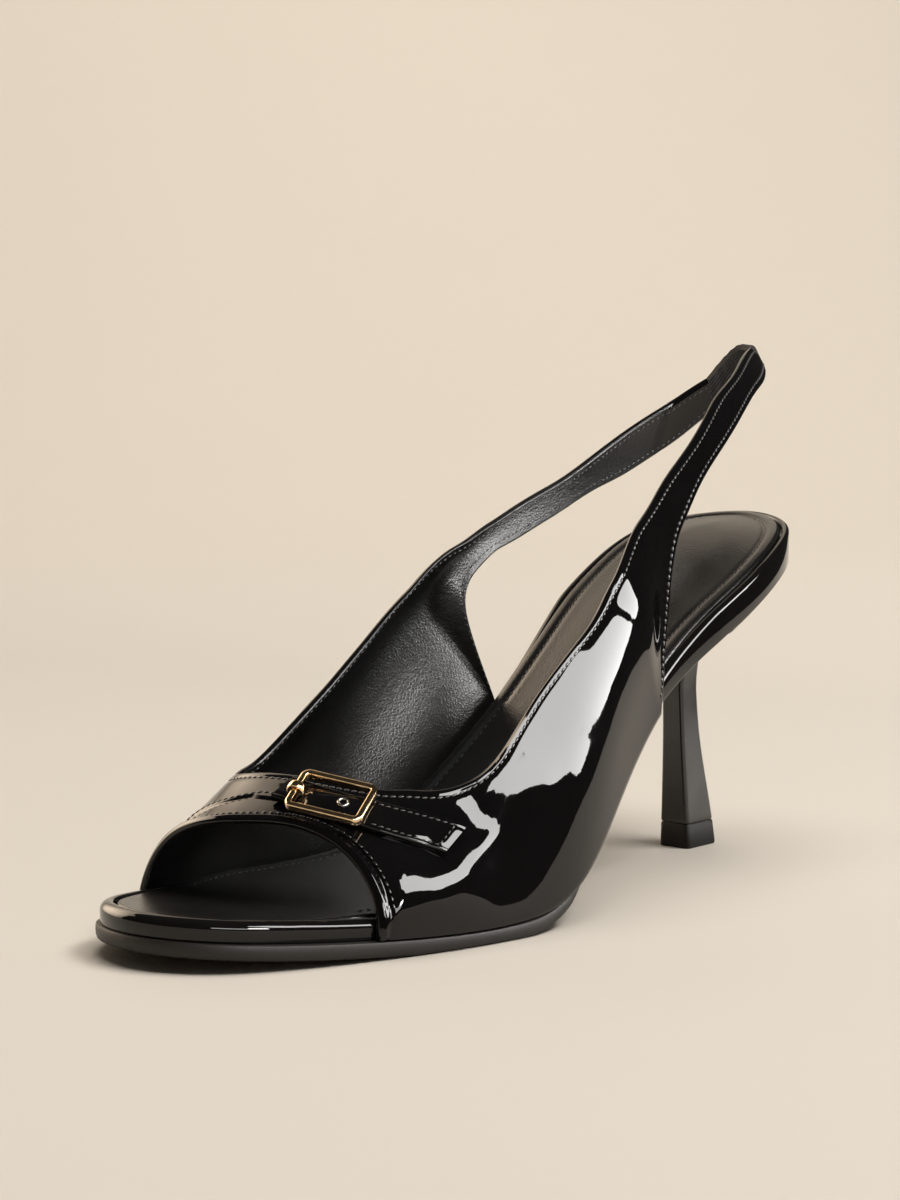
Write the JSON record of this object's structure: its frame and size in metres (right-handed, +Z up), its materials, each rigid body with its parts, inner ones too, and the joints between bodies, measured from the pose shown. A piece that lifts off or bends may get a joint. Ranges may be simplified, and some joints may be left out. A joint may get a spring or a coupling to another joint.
{
  "type": "slingback sandal",
  "caption": "Left open-toe slingback sandal in glossy patent with a tab and buckle on the vamp, an elastic heel strap and a slim flared heel.",
  "frame": {"origin": "on the floor, under the middle of the shoe's bounding box", "axes": "+Z up, -Y towards the toe, +X towards the outer (lateral) side of the left foot"},
  "size_m": [0.0809, 0.2362, 0.1344],
  "materials": {
    "upper_patent": "black patent, mirror gloss",
    "seat_patent": "black patent, gloss",
    "sock_lining": "black smooth lining, satin with a fine grain",
    "outsole_rubber": "dark grey, matte",
    "heel_cover": "black lacquer, satin",
    "tip_rubber": "black, matte",
    "elastic": "woven elastic, matte",
    "tab_patent": "black patent, mirror gloss",
    "buckle_metal": "pale gold, polished",
    "prong_metal": "pale gold, polished"
  },
  "bodies": {
    "root": {"upper": "upper_patent", "insole_board": "seat_patent", "insole": "sock_lining", "outsole": "outsole_rubber", "heel": "heel_cover", "heel_tip": "tip_rubber", "elastic_gore": "elastic", "vamp_tab": "tab_patent", "buckle_frame": "buckle_metal", "buckle_prong": "prong_metal"}
  },
  "joints": []
}
